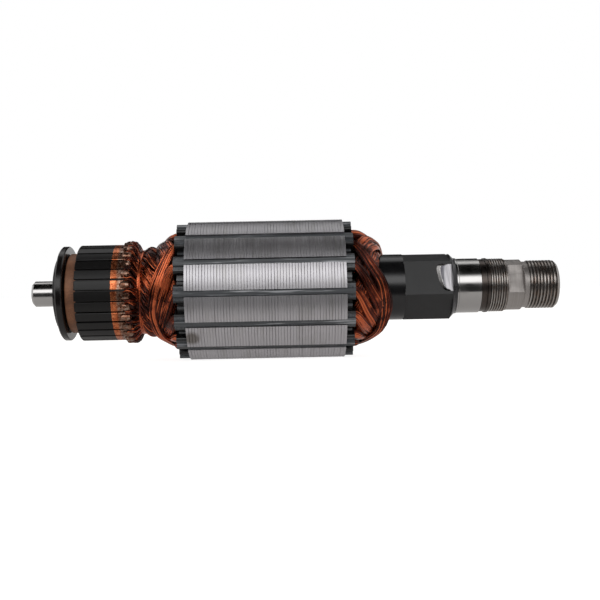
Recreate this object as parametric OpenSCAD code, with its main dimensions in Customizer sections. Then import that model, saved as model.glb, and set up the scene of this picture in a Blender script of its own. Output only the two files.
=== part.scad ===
// Armature of a universal motor whose drive end is also the tool spindle.
// Millimetres. +X runs along the shaft towards the drive end, -Y faces the viewer, +Z is up.
// The origin is on the axis, in the middle of the drive-end bearing seat.

/* [Shaft] */
// Diameter of the drive-end bearing seat
seat_d = 17; // [16.6:0.1:17.4]
// Length of the drive-end bearing seat, the width of its bearing
seat_len = 10; // [9:0.5:12]
// Diameter of the stub that carries the commutator-end bearing
stub_d = 8; // [7:0.5:9]
// Length of the stub outside the commutator flange
stub_len = 7.9; // [7:0.1:9]
// Major diameter of the thread for the bearing lock nut
lock_thread_d = 16.6; // [16:0.1:16.6]
// Major diameter of the end thread for the collet nut
end_thread_d = 15; // [14:0.1:15]
// Length of the end thread
end_thread_len = 8.5; // [6:0.5:10]
// Size across the two spanner flats
flats_af = 13; // [12:0.5:14]
// Bore that takes the shank of the tool
shank_bore_d = 8.2; // [6.4:0.1:8.4]

/* [Core] */
// Diameter of the laminated core
core_d = 43; // [42:0.5:44]
// Length of the laminated core
core_len = 47.65; // [44:0.05:50]
// Width of a slot mouth between two tooth tips
mouth_w = 1.9; // [1.6:0.1:2.2]
// Wall of the moulded slot liners
liner_wall = 0.45; // [0.4:0.05:0.5]

/* [Commutator] */
// Diameter of the commutator over its bars
commutator_d = 29.86; // [29:0.02:30.5]
// Length of a bar
bar_len = 16.7; // [16:0.1:17]
// Width of the slot between two bars at their outside
bar_slot = 0.5; // [0.4:0.1:0.8]
// Width of a hook
hook_w = 2.2; // [1.8:0.1:2.4]
// Diameter over the hooks
hook_d = 32.2; // [31.8:0.1:32.4]

/* [Sleeve] */
// Size across the flats of the hexagon that drives the fan
hex_af = 18.4; // [18:0.1:18.8]
// Diameter of the round part of the sleeve
sleeve_d = 20.5; // [20:0.1:20.6]

/* [Winding] */
// Diameter of a lead where it goes round its hook
lead_d = 0.5; // [0.4:0.05:0.55]
// Diameter of the cord that binds the leads to the winding
cord_d = 0.6; // [0.4:0.1:0.7]

/* [Hidden] */
$fn = 96;
slots = 14;
bars = 2 * slots;
coil_pitch = 6;
slot_step = 360 / slots;
bar_step = 360 / bars;
slot_angle = -2.3;
bar_gap_angle = 2.5;
facet_angle = 16.8;

// Stations along the axis, worked out from the middle of the drive-end seat
seat_in = -seat_len / 2;
seat_out = seat_len / 2;
shoulder_len = 2.3;
sleeve_out = seat_in - shoulder_len;
hex_len = 14.6;
hex_in = sleeve_out - hex_len;
core_out = hex_in - 18.4;
core_in = core_out - core_len;
hook_out = core_in - 16.9;
bar_in = hook_out - bar_len;
flange_out = bar_in - 3.35;
flange_in = flange_out - 4.3;
shoulder_x = flange_in - 0.1;
stub_end = flange_in - stub_len;
lock_len = 5;
lock_out = seat_out + lock_len;
flats_in = lock_out + 0.4;
flats_len = 4.85;
groove_in = flats_in + flats_len;
groove_len = 1.75;
thread_in = groove_in + groove_len;
thread_out = thread_in + end_thread_len;
shaft_end = thread_out + 0.5;

// Radii that several pieces share
core_shaft_r = 6;
commutator_shaft_r = 5;
sleeve_bore_r = 8.7;
sleeve_wall_r = 7.5;
ring_bore_r = 7.4;
collar_r = 10.2;
flats_r = 7.85;
groove_r = 7.17;

// Slot outline: a small circle at the bottom and two corner circles under the tooth tips
slot_foot = 11.6;
slot_foot_r = 1.15;
slot_top = 19.3;
slot_half = 1.9;
slot_corner_r = 0.9;
liner_gap = 0.05;

// Insulators at the two ends of the core
lip_in = 3.3;
lip_out = 2.55;
plate_r = 18.2;
plate_in = 2.35;
plate_out = 1.7;

// Commutator bar and its dovetail
bar_r = commutator_d / 2;
bar_angle = bar_step - 2 * asin(bar_slot / 2 / bar_r);
bar_face_r = 12.6;
dovetail_waist_r = 11.2;
dovetail_foot_r = 8.2;
undercut = 0.8;
hook_len = 3.9;
hook_r = hook_d / 2;
hook_eye_r = 0.38;
hook_eye_x = hook_out - 1.45;
hook_eye_y = bar_r + 0.52;

function numbered(name, i) = str(name, i < 10 ? "0" : "", i);
function arc(c, r, a0, a1, n) = [for (k = [0 : n]) let (a = a0 + (a1 - a0) * k / n) c + r * [cos(a), sin(a)]];

// Turns children to an angle above the horizontal, as seen from the viewer's side
module at_angle(phi) rotate([-phi, 0, 0]) children();

// A flat shape, drawn as radius and width, run along the axis on the viewer's side
module along_axis(x0, x1)
    translate([x0, 0, 0]) rotate([-90, 0, 0]) rotate([0, 90, 0]) linear_extrude(x1 - x0) children();

// A profile of [radius, station] points turned round the axis
module turned(points) rotate([0, 90, 0]) rotate_extrude() polygon(points);

// A profile of [radius, station] points swept through an angle centred on phi
module sector(points, phi, angle)
    at_angle(phi + angle / 2) rotate([-90, 0, 0]) rotate([0, 90, 0])
        rotate_extrude(angle = angle) polygon(points);

// Shaft

// The fan hexagon of the sleeve, from one station to another
module hexagon(af, x0, x1)
    at_angle(facet_angle - 30) along_axis(x0, x1) circle(r = af / sqrt(3), $fn = 6);

// Envelope of the hexagon, with its corners chamfered at the drive end
module hexagon_limit() {
    corner_r = hex_af / sqrt(3);
    turned([[0, hex_in], [corner_r + 1, hex_in], [corner_r + 1, sleeve_out - 0.9],
            [collar_r + 0.02, sleeve_out], [0, sleeve_out]]);
}

// Land of bare steel let into one facet of the hexagon, as [back from the sleeve's end, up]
land_outline = [
    [0, 4.35], [1.85, 4.35], [3.15, 4.3], [4.1, 4.1], [4.65, 3.2], [4.65, 1.9], [4.45, 0.6],
    [4.05, -1.5], [3.4, -3.2], [2.55, -4.1], [1.55, -4.35], [0, -4.35]
];
module bare_land(over = 0)
    at_angle(facet_angle) translate([sleeve_out, -hex_af / 2 - over, 0])
        rotate([90, 0, 180]) linear_extrude(3 + over)
            polygon([for (p = land_outline) p[0] == 0 ? [-over, p[1]] : p]);

module shaft() {
    seat_r = seat_d / 2;
    stub_r = stub_d / 2;
    lock_r = lock_thread_d / 2;
    end_r = end_thread_d / 2;
    bore_r = shank_bore_d / 2;
    socket_len = 9;
    bore_len = 24;
    color([0.66, 0.65, 0.64]) difference() {
        union() {
            turned([[0, stub_end], [stub_r - 0.7, stub_end], [stub_r, stub_end + 0.7],
                    [stub_r, shoulder_x], [commutator_shaft_r, shoulder_x],
                    [commutator_shaft_r, hook_out + 0.85], [core_shaft_r, hook_out + 0.85],
                    [core_shaft_r, hex_in - 6], [sleeve_bore_r, hex_in - 3],
                    [sleeve_bore_r, sleeve_out], [collar_r, sleeve_out],
                    [sleeve_bore_r, sleeve_out + 1.5], [sleeve_bore_r, seat_in - 0.2], [seat_r, seat_in],
                    [seat_r, seat_in + 6.75], [seat_r - 0.3, seat_in + 6.9],
                    [seat_r - 0.3, seat_out - 1.45], [seat_r, seat_out - 1.3],
                    [seat_r, seat_out - 0.5], [seat_r - 0.45, seat_out - 0.45],
                    [seat_r - 0.45, seat_out - 0.35], [lock_r, seat_out - 0.25],
                    [lock_r, lock_out], [flats_r + 0.15, flats_in - 0.05], [flats_r, flats_in],
                    [flats_r, groove_in - 0.3], [groove_r, groove_in + 0.1],
                    [groove_r, thread_in - 0.25], [end_r, thread_in],
                    [end_r, thread_out], [end_r - 0.5, shaft_end], [0, shaft_end]]);
            intersection() {
                bare_land();
                hexagon_limit();
            }
        }
        for (side = [0, 180])
            at_angle(facet_angle + side) translate([flats_in, -flats_r - 5, -10])
                cube([flats_len, flats_r + 5 - flats_af / 2, 20]);
        turned([[0, shaft_end + 1], [bore_r + 1.8, shaft_end + 1], [bore_r + 1.6, shaft_end],
                [bore_r, shaft_end - socket_len], [bore_r, shaft_end - socket_len - bore_len],
                [0.5, shaft_end - socket_len - bore_len - 2],
                [0, shaft_end - socket_len - bore_len - 2]]);
    }
}

module shaft_sleeve() {
    color([0.14, 0.13, 0.14]) difference() {
        union() {
            turned([[0, hook_out + 0.85], [sleeve_wall_r, hook_out + 0.85],
                    [sleeve_wall_r, core_out], [sleeve_d / 2, core_out],
                    [sleeve_d / 2, hex_in + 0.1], [0, hex_in + 0.1]]);
            intersection() {
                hexagon(hex_af, hex_in, sleeve_out);
                hexagon_limit();
            }
        }
        turned([[0, hook_out], [core_shaft_r, hook_out], [core_shaft_r, hex_in - 6],
                [sleeve_bore_r, hex_in - 3], [sleeve_bore_r, sleeve_out + 1], [0, sleeve_out + 1]]);
        bare_land(1);
    }
}

// Core

// Outline of a slot, drawn in by a margin
function slot_outline(margin) = let (
        across = [slot_top - slot_foot, slot_half],
        lean = atan2(across[1], across[0])
            + acos((slot_foot_r - slot_corner_r) / norm(across))
    )
    concat(
        arc([slot_top, slot_half], slot_corner_r - margin, 0, lean, 5),
        arc([slot_foot, 0], slot_foot_r - margin, lean, 360 - lean, 8),
        arc([slot_top, -slot_half], slot_corner_r - margin, 360 - lean, 360, 5)
    );

module slot_mouth(width)
    translate([slot_top, -width / 2]) square([core_d / 2 - slot_top + 1, width]);

module lamination_stack() {
    color([0.55, 0.54, 0.53]) along_axis(core_in, core_out) difference() {
        circle(d = core_d);
        circle(r = sleeve_wall_r);
        for (i = [0 : slots - 1]) rotate(-slot_angle - i * slot_step) {
            polygon(slot_outline(0));
            slot_mouth(mouth_w);
        }
    }
}

// Moulded end plate with a liner for each slot that reaches the middle of the core
module insulator(face, away, plate, lip) {
    middle = (core_in + core_out) / 2;
    lip_x = face + away * lip;
    plate_x = face + away * plate;
    difference() {
        union() {
            along_axis(min(face, plate_x), max(face, plate_x)) difference() {
                circle(r = plate_r);
                circle(r = face == core_out ? sleeve_d / 2 : sleeve_wall_r);
            }
            for (i = [0 : slots - 1]) {
                at_angle(slot_angle + i * slot_step)
                    along_axis(min(middle, lip_x), max(middle, lip_x))
                        polygon(slot_outline(liner_gap));
                at_angle(slot_angle + (i + 0.5) * slot_step)
                    along_axis(min(face, plate_x), max(face, plate_x))
                        translate([plate_r - 1, -0.4]) square([1.7, 0.8]);
            }
        }
        for (i = [0 : slots - 1]) at_angle(slot_angle + i * slot_step)
            along_axis(core_in - lip_in - 1, core_out + lip_out + 1) {
                polygon(slot_outline(liner_gap + liner_wall));
                slot_mouth(mouth_w);
            }
    }
}

module commutator_end_insulator()
    color([0.27, 0.28, 0.29]) insulator(core_in, -1, plate_in, lip_in);

module drive_end_insulator()
    color([0.27, 0.28, 0.29]) insulator(core_out, 1, plate_out, lip_out);

// Wedges that close the slot mouths, with a foot under the tooth tips
module slot_wedges() {
    foot_w = 4.1;
    foot_in = 19.05;
    foot_out = 19.6;
    rib_w = mouth_w - 0.1;
    rib_out = 21.05;
    color([0.33, 0.34, 0.36]) for (i = [0 : slots - 1])
        at_angle(slot_angle + i * slot_step)
            along_axis(core_in - lip_in, core_out + lip_out)
                polygon([[foot_in, -foot_w / 2], [foot_out, -foot_w / 2], [foot_out, -rib_w / 2],
                         [rib_out - 0.2, -rib_w / 2], [rib_out, -rib_w / 2 + 0.2],
                         [rib_out, rib_w / 2 - 0.2], [rib_out - 0.2, rib_w / 2],
                         [foot_out, rib_w / 2], [foot_out, foot_w / 2], [foot_in, foot_w / 2]]);
}

// Commutator

// Side view of a bar: a flat face, and below it a dovetail that the moulding grips
function bar_profile() = [
    [bar_r, bar_in], [bar_r, hook_out], [bar_face_r, hook_out],
    [dovetail_waist_r, hook_out - 1.6], [dovetail_foot_r + 0.8, hook_out - 0.7],
    [dovetail_foot_r, hook_out - 2.3], [dovetail_foot_r, bar_in + 3.2],
    [dovetail_foot_r + 0.8, bar_in + 1.6], [dovetail_waist_r, bar_in + 2.5],
    [bar_face_r, bar_in + 0.9]
];

function bar_centre(i) = bar_gap_angle + (i - 0.5) * bar_step;

// Hook of a bar, folded back over the eye that holds the lead
module hook() {
    tip = hook_out - hook_len;
    crown = hook_r;
    translate([0, 0, -hook_w / 2]) linear_extrude(hook_w) difference() {
        polygon([[hook_out, -bar_r + 0.5], [hook_out, -bar_r - 0.45], [hook_out - 0.3, -crown + 0.2],
                 [hook_out - 0.75, -crown], [tip + 1.2, -crown + 0.05], [tip + 0.35, -bar_r - 0.75],
                 [tip, -bar_r - 0.15], [tip, -bar_r + 0.5]]);
        translate([hook_eye_x, -hook_eye_y]) circle(r = hook_eye_r, $fn = 32);
    }
}

module commutator_bar(i) {
    color([0.71, 0.40, 0.26]) union() {
        sector(bar_profile(), bar_centre(i), bar_angle);
        at_angle(bar_centre(i)) hook();
    }
}

module commutator_core() {
    fin_r = bar_r - undercut;
    color([0.10, 0.09, 0.09]) difference() {
        turned([[commutator_shaft_r, flange_out], [ring_bore_r, flange_out], [ring_bore_r, bar_in],
                [bar_face_r - 0.2, bar_in], [fin_r, bar_in + 0.4], [fin_r, hook_out - 0.4],
                [bar_face_r - 0.2, hook_out], [9.5, hook_out + 0.85],
                [commutator_shaft_r, hook_out + 0.85]]);
        for (i = [1 : bars]) sector(bar_profile(), bar_centre(i), bar_angle);
    }
}

module commutator_end_ring() {
    ring_r = 12.4;
    ring_in = flange_out + 0.05;
    color([0.49, 0.34, 0.24]) turned([[ring_bore_r, ring_in], [ring_r - 0.2, ring_in],
        [ring_r, ring_in + 0.2], [ring_r, bar_in], [ring_bore_r, bar_in]]);
}

module commutator_flange() {
    rim_r = 14.75;
    rim_out = flange_out - 0.4;
    rim_in = rim_out - 2.05;
    hub_r = 11.8;
    color([0.10, 0.09, 0.09]) turned([[commutator_shaft_r, flange_in], [hub_r - 2.4, flange_in],
        [hub_r - 0.4, flange_in + 0.6], [hub_r + 0.3, rim_in], [rim_r - 0.4, rim_in],
        [rim_r, rim_in + 0.4], [rim_r, rim_out - 0.3], [rim_r - 0.3, rim_out],
        [8.8, rim_out], [8.8, flange_out], [commutator_shaft_r, flange_out]]);
}

// Winding

// Each station of a coil is [x, radius, thickness, half angle, turn], where turn runs from 0 in
// the slot of its outer leg to 1 in the slot of its inner leg
outer_leg_r = 17.6;
inner_leg_r = 14;
outer_leg = [2.6, 5.2];
inner_leg = [3.4, 3.5];
commutator_end_turn = [
    [-6.6, 15.1, 2.2, 11.5, 0.16], [-8.9, 13.5, 2.3, 12, 0.30], [-11.0, 12.3, 2.0, 12, 0.43],
    [-12.0, 10.8, 1.8, 11.8, 0.50], [-10.9, 9.3, 2.0, 12, 0.57], [-8.7, 10.1, 2.3, 12, 0.70],
    [-6.6, 11.6, 2.0, 11.5, 0.84]
];
drive_end_turn = [
    [6.2, 16.2, 2.2, 11.5, 0.16], [8.8, 14.8, 2.0, 12, 0.30], [11.2, 13.3, 1.6, 11.8, 0.43],
    [12.3, 12.3, 1.4, 11.6, 0.50], [11.2, 11.3, 1.4, 11.6, 0.57], [8.8, 11.9, 2.2, 12, 0.70],
    [6.2, 12.7, 2.3, 11.5, 0.84]
];

function spline(a, b, c, d, t) =
    0.5 * (2 * b + (c - a) * t + (2 * a - 5 * b + 4 * c - d) * t * t + (3 * b - a - 3 * c + d) * t * t * t);

// Rings of an end turn, smoothed through its stations, with one point between each pair
function end_turn(stations, face, lip) = let (
        ends = concat([[lip, outer_leg_r, outer_leg[0], outer_leg[1], 0]],
            [for (s = stations) s],
            [[lip, inner_leg_r, inner_leg[0], inner_leg[1], 1]]),
        last = len(ends) - 1
    )
    [for (k = [0 : last - 1], t = [0, 0.5])
        let (s = spline(ends[max(k - 1, 0)], ends[k], ends[k + 1], ends[min(k + 2, last)], t))
            [s[0] + face, s[1], s[2], s[3], s[4]]];

function reversed(list) = [for (k = [len(list) - 1 : -1 : 0]) list[k]];

// Direction of the thickness at ring k of a closed run of rings
function across(rings, k) = let (
        n = len(rings),
        a = rings[(k + n - 1) % n],
        b = rings[(k + 1) % n],
        d = [b[0] - a[0], b[1] - a[1]]
    )
    [-d[1], d[0]] / norm(d);

// Rounded section as shares of half the thickness and of the half angle
coil_section = [[1, 0.55], [0.6, 1], [-0.6, 1], [-1, 0.55], [-1, -0.55], [-0.6, -1], [0.6, -1], [1, -0.55]];

module coil(i) {
    span = -coil_pitch * slot_step;
    phi = slot_angle + (i - 1) * slot_step;
    drive_lip = lip_out + 0.5;
    comm_lip = -lip_in - 0.5;
    drive = end_turn(drive_end_turn, core_out, drive_lip);
    inner_start = [core_out + drive_lip, inner_leg_r, inner_leg[0], inner_leg[1], 1];
    comm = end_turn(commutator_end_turn, core_in, comm_lip);
    inner_end = [core_in + comm_lip, inner_leg_r, inner_leg[0], inner_leg[1], 1];
    rings = concat(drive, [inner_start, inner_end], reversed(comm));
    n = len(rings);
    m = len(coil_section);
    points = [for (k = [0 : n - 1], p = coil_section)
        let (
            ring = rings[k],
            side = across(rings, k),
            x = ring[0] + side[0] * p[0] * ring[2] / 2,
            r = ring[1] + side[1] * p[0] * ring[2] / 2,
            a = phi + span * ring[4] + p[1] * ring[3]
        )
        [x, -r * cos(a), r * sin(a)]];
    faces = [for (k = [0 : n - 1], j = [0 : m - 1])
        let (k2 = (k + 1) % n, j2 = (j + 1) % m)
            [k * m + j, k * m + j2, k2 * m + j2, k2 * m + j]];
    color([0.62, 0.28, 0.15]) polyhedron(points, faces, convexity = 10);
}

// Route of one side of a lead from its hook to the winding, as [x, radius, angle to the side,
// angle of lean]. The two sides come down the gaps beside the hook, then lean over together.
lead_route = [
    [-1.45, bar_r + 0.52, 0, 0], [-1.45, bar_r + 0.52, 3.6, 0], [-1.38, bar_r + 0.52, 4.5, 0],
    [-1.2, bar_r + 0.51, 5.1, 0], [-0.95, bar_r + 0.5, 5.3, 0], [0.2, bar_r + 0.4, 5.25, 0],
    [0.9, 14.8, 4.9, -2], [1.8, 13.3, 4.1, -5.5], [2.8, 12.3, 3.4, -10],
    [4.2, 12.5, 3.2, -14.5], [5.8, 13.9, 3.2, -19.5], [7.6, 14.9, 3.2, -25]
];

module coil_leads() {
    sides = 5;
    far = [for (k = [len(lead_route) - 1 : -1 : 1]) let (p = lead_route[k]) [p[0], p[1], -p[2], p[3]]];
    route = concat(far, lead_route);
    last = len(route) - 1;
    for (i = [1 : bars]) {
        line = [for (p = route) let (a = bar_centre(i) + p[2] + p[3])
            [hook_out + p[0], -p[1] * cos(a), p[1] * sin(a)]];
        rings = [for (k = [0 : last]) let (
                d = line[min(k + 1, last)] - line[max(k - 1, 0)],
                u = cross(d, [0, line[k][1], line[k][2]]),
                v = cross(d, u)
            )
            [for (j = [0 : sides - 1]) line[k] + lead_d / 2
                * (cos(j * 360 / sides) * u / norm(u) + sin(j * 360 / sides) * v / norm(v))]];
        color([0.55, 0.25, 0.14]) polyhedron(
            [for (ring = rings) each ring],
            concat(
                [[for (j = [0 : sides - 1]) j]],
                [for (k = [0 : last - 1], j = [0 : sides - 1])
                    let (a = k * sides, b = a + sides, j2 = (j + 1) % sides)
                        each [[a + j, b + j, b + j2], [a + j, b + j2, a + j2]]],
                [[for (j = [sides - 1 : -1 : 0]) last * sides + j]]
            ),
            convexity = 4
        );
    }
}

module binding_cord() {
    cord_x = hook_out + 3.3;
    cord_r = 12.95;
    color([0.72, 0.36, 0.20]) translate([cord_x, 0, 0]) rotate([0, 90, 0])
        rotate_extrude() translate([cord_r, 0]) circle(d = cord_d, $fn = 24);
}

shaft();
shaft_sleeve();
lamination_stack();
commutator_end_insulator();
drive_end_insulator();
slot_wedges();
commutator_core();
commutator_end_ring();
commutator_flange();
coil_leads();
binding_cord();
for (i = [1 : bars]) commutator_bar(i);
for (i = [1 : slots]) coil(i);
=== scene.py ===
"""Looks of a motor armature: shaft, laminated core, commutator and winding around its CAD frame."""

import math
import random

import bmesh
import bpy
import numpy as np
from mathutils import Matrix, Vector


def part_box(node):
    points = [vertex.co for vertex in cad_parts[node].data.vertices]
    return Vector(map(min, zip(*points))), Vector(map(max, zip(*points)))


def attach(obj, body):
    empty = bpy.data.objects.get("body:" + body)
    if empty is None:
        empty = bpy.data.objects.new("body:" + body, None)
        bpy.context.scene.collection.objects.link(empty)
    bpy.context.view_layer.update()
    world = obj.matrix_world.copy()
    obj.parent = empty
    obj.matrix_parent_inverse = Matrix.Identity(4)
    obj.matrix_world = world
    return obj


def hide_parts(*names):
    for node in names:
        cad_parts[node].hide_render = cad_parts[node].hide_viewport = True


bl_info = {
    "name": "Motor armature",
    "version": (1, 0, 0),
    "blender": (4, 5, 0),
    "location": "View3D > Sidebar > Armature",
    "description": "Builds the surfaces, winding and threads of a motor armature on its CAD frame",
    "category": "Object",
}

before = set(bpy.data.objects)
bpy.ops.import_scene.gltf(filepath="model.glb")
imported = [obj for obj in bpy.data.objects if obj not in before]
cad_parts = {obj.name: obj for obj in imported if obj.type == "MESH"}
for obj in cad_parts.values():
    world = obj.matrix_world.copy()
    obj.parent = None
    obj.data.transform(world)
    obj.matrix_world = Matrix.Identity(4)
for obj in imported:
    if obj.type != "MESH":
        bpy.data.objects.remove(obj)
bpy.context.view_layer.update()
MM = 0.001
SLOTS = 14
BARS = 28
SLOT_STEP = 360 / SLOTS
BAR_STEP = 360 / BARS
# A coil's lower leg lies this many slots below its upper leg
COIL_SPAN = 6

# Angles in degrees, up from the viewer's side: a slot's middle, a gap between two bars, the facing facet
SLOT_ANGLE = -2.3
BAR_GAP_ANGLE = 2.5
FACET_ANGLE = 16.8

# Stations along the axis in millimetres, read from the frame
CORE_IN, CORE_OUT = (c[0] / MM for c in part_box("lamination_stack"))
STUB_END, SHAFT_END = (c[0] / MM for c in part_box("shaft"))
BAR_IN, HOOK_OUT = (c[0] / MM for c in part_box("commutator_bar_01"))
FLANGE_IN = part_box("commutator_flange")[0][0] / MM
SLEEVE_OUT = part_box("shaft_sleeve")[1][0] / MM
HEX_LEN = 14.6
HEX_IN = SLEEVE_OUT - HEX_LEN

# Stations of the drive end in millimetres, where each feature starts and ends
SEAT_IN, SEAT_OUT = -5.0, 4.5
GROOVE_IN, GROOVE_OUT = 1.9, 3.55
LOCK_THREAD_IN, LOCK_THREAD_OUT = 4.65, 10.0
FLATS_IN, FLATS_OUT = 10.4, 14.95
RUN_OUT_IN, RUN_OUT_OUT = 15.35, 16.75
END_THREAD_IN, END_THREAD_OUT = 16.8, SHAFT_END - 0.5

# Radii in millimetres
CORE_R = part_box("lamination_stack")[1][2] / MM
CORE_BORE_R = 7.5
BAR_R = 14.93
OUTER_LEG_R = 17.3
INNER_LEG_R = 14.3

# Radii of the shaft in millimetres, from the commutator end to the nose: the first closes an end on the axis
AXIS_R = 0.01
STUB_R = 4.0
HUB_R = 5.0
SLEEVE_BORE_R = 6.0
SHOULDER_R = 8.7
CONE_R = 10.0
SEAT_R = 8.5
RELIEF_R = 8.2
UNDERCUT_R = 8.05
LOCK_THREAD_R = 8.3
LOCK_THREAD_END_R = 7.95
BODY_R = 7.85
HALF_FLATS = 6.5
RUN_OUT_R = 7.17
END_THREAD_R = 7.5
NOSE_R = 6.8
SOCKET_R = 5.9
SHANK_BORE_R = 4.1

# Width of the photograph in pixels, and how far its middle lies from the point that the camera looks at
PHOTO_PX = 600
SHIFT_PX = (20, -10.7)


class ShaftSizes(bpy.types.PropertyGroup):
    """Sizes and colours of the shaft"""

    pitch: bpy.props.FloatProperty(
        name="Thread pitch",
        description="Pitch of the end thread",
        default=1.0 * MM,
        unit="LENGTH",
        precision=5,
    )
    lock_pitch: bpy.props.FloatProperty(
        name="Lock thread pitch",
        description="Pitch of the thread for the lock nut",
        default=0.75 * MM,
        unit="LENGTH",
        precision=5,
    )
    thread_depth: bpy.props.FloatProperty(
        name="Thread depth", description="Depth as a share of the pitch", default=0.45, min=0.3, max=0.62
    )
    steel: bpy.props.StringProperty(
        name="Steel", description="Colour of ground steel, sRGB hex", default="a19f9e"
    )
    thread_steel: bpy.props.StringProperty(
        name="Thread steel", description="Colour of the cut threads, sRGB hex", default="6a6663"
    )
    oil_brown: bpy.props.StringProperty(
        name="Oil brown", description="Colour of old oil in the thread roots, sRGB hex", default="6d5443"
    )
    sleeve: bpy.props.StringProperty(
        name="Sleeve", description="Colour of the moulded sleeve, sRGB hex", default="0b0b0c"
    )


class CoreSizes(bpy.types.PropertyGroup):
    """Sizes and colours of the laminated core and its slots"""

    sheets: bpy.props.IntProperty(
        name="Sheets", description="Number of sheets that show", default=54, min=20, max=100
    )
    groove: bpy.props.FloatProperty(
        name="Groove depth",
        description="Depth of the groove between two sheets",
        default=0.13 * MM,
        unit="LENGTH",
        precision=5,
    )
    steel: bpy.props.StringProperty(
        name="Sheet steel", description="Colour of the sheets, sRGB hex", default="b3b1b4"
    )
    plastic: bpy.props.StringProperty(
        name="Slot plastic", description="Colour of the end plates and liners, sRGB hex", default="3c3f42"
    )
    wedge: bpy.props.StringProperty(
        name="Wedge", description="Colour of the slot wedges, sRGB hex", default="55585b"
    )


class CommutatorSizes(bpy.types.PropertyGroup):
    """Colours and zones of the commutator"""

    lacquer_len: bpy.props.FloatProperty(
        name="Lacquered length",
        description="Length of the bars under black lacquer",
        default=11.0 * MM,
        unit="LENGTH",
        precision=5,
    )
    copper: bpy.props.StringProperty(
        name="Bar copper", description="Colour of bare bars, sRGB hex", default="d98457"
    )
    hook: bpy.props.StringProperty(
        name="Hook", description="Colour of the fused hooks, sRGB hex", default="7c5542"
    )
    lacquer: bpy.props.StringProperty(
        name="Lacquer", description="Colour of the lacquer, sRGB hex", default="100f0f"
    )
    moulding: bpy.props.StringProperty(
        name="Black moulding", description="Colour of the phenolic moulding, sRGB hex", default="110e0e"
    )
    ring: bpy.props.StringProperty(
        name="Brown ring", description="Colour of the end ring, sRGB hex", default="a06a48"
    )


class WindingSizes(bpy.types.PropertyGroup):
    """Sizes and colours of the winding"""

    wire: bpy.props.FloatProperty(
        name="Wire diameter",
        description="Diameter of the enamelled wire",
        default=0.44 * MM,
        unit="LENGTH",
        precision=5,
    )
    strands: bpy.props.IntProperty(
        name="Strands", description="Wires round the outside of a bundle", default=30, min=12, max=60
    )
    enamel: bpy.props.StringProperty(
        name="Enamel", description="Colour of the wires, sRGB hex", default="cf6a40"
    )
    # Painted shade: the dark end of the wires' tones, taken by shaded flanks, coils under later ones, the
    # bundles' hearts and the bed under the leads, as well as by random darker wires
    shaded_enamel: bpy.props.StringProperty(
        name="Deep enamel", description="Colour of wires under thick varnish, sRGB hex", default="2a0c06"
    )
    seed: bpy.props.IntProperty(name="Seed", description="Seed of the wires' small differences", default=7)


class StageSizes(bpy.types.PropertyGroup):
    """Camera and floor"""

    lens: bpy.props.FloatProperty(name="Lens", description="Focal length", default=55.8, unit="CAMERA")
    distance: bpy.props.FloatProperty(
        name="Camera distance", description="Distance from the axis", default=292 * MM, unit="LENGTH"
    )
    station: bpy.props.FloatProperty(
        name="Camera station",
        description="Place of the camera along the axis",
        default=-59.9 * MM,
        unit="LENGTH",
    )
    roll: bpy.props.FloatProperty(
        name="Roll", description="Roll of the camera", default=math.radians(1.16), subtype="ANGLE"
    )
    floor: bpy.props.StringProperty(
        name="Floor", description="Colour of the floor, sRGB hex", default="c6c3bf"
    )


# Materials


def linear(code):
    """An sRGB hex colour as linear RGBA."""
    parts = [int(code[i : i + 2], 16) / 255 for i in (0, 2, 4)]
    return (*(c / 12.92 if c <= 0.04045 else ((c + 0.055) / 1.055) ** 2.4 for c in parts), 1.0)


def connect(tree, node, inputs):
    """Gives inputs of a node their values or hex colours, or links the nodes or sockets that feed them."""
    for name, value in inputs.items():
        if isinstance(value, bpy.types.Node):
            value = value.outputs[0]
        if isinstance(value, bpy.types.NodeSocket):
            tree.links.new(value, node.inputs[name])
        else:
            node.inputs[name].default_value = linear(value) if isinstance(value, str) else value


def wire_node(tree, kind, inputs=None, stops=(), **settings):
    """Adds a shader node with its inputs, the stops of its colour ramp, and its settings."""
    made = tree.nodes.new("ShaderNode" + kind)
    for name, value in settings.items():
        setattr(made, name, value)
    connect(tree, made, inputs or {})
    if stops:
        ramp = made.color_ramp.elements
        while len(ramp) < len(stops):
            ramp.new(1.0)
        for element, (position, colour) in zip(ramp, stops):
            element.position = position
            element.color = linear(colour) if isinstance(colour, str) else colour
    return made


def new_material(name, inputs):
    """A material with one Principled shader, whose inputs take the given constants."""
    made = bpy.data.materials.new(name)
    made.use_nodes = True
    tree = made.node_tree
    shader = tree.nodes["Principled BSDF"]
    connect(tree, shader, inputs)
    return made, tree, shader


def ground_steel(name, colour, roughness, mark_mm, mark_depth, tint=None):
    """Case-hardened steel, cylindrically ground or turned: bright, with fine rings round the axis."""
    made, tree, shader = new_material(name, {"Metallic": 1.0})
    place = wire_node(tree, "TexCoord").outputs["Object"]
    # The tool marks are rings, so the pattern is squeezed along the axis and nearly even round it
    rings = wire_node(tree, "Mapping", {"Vector": place, "Scale": (1000 / mark_mm, 40, 40)})
    marks = wire_node(tree, "TexNoise", {"Vector": rings, "Scale": 1.0, "Detail": 3.0})
    smears = wire_node(tree, "TexNoise", {"Vector": place, "Scale": 260.0, "Detail": 4.0})
    mixed = wire_node(tree, "Math", {0: marks, 1: smears}, operation="MULTIPLY")
    shade = wire_node(tree, "ValToRGB", {"Fac": mixed}, [(0.10, tint or colour), (0.34, colour)])
    smeared = {"Value": smears, "From Min": 0.3, "From Max": 0.7}
    rough = wire_node(tree, "MapRange", {**smeared, "To Min": roughness * 0.75, "To Max": roughness * 1.35})
    bump = wire_node(tree, "Bump", {"Height": marks, "Strength": 0.35, "Distance": mark_depth * MM})
    connect(tree, shader, {"Base Color": shade, "Roughness": rough, "Normal": bump})
    return made


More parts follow.
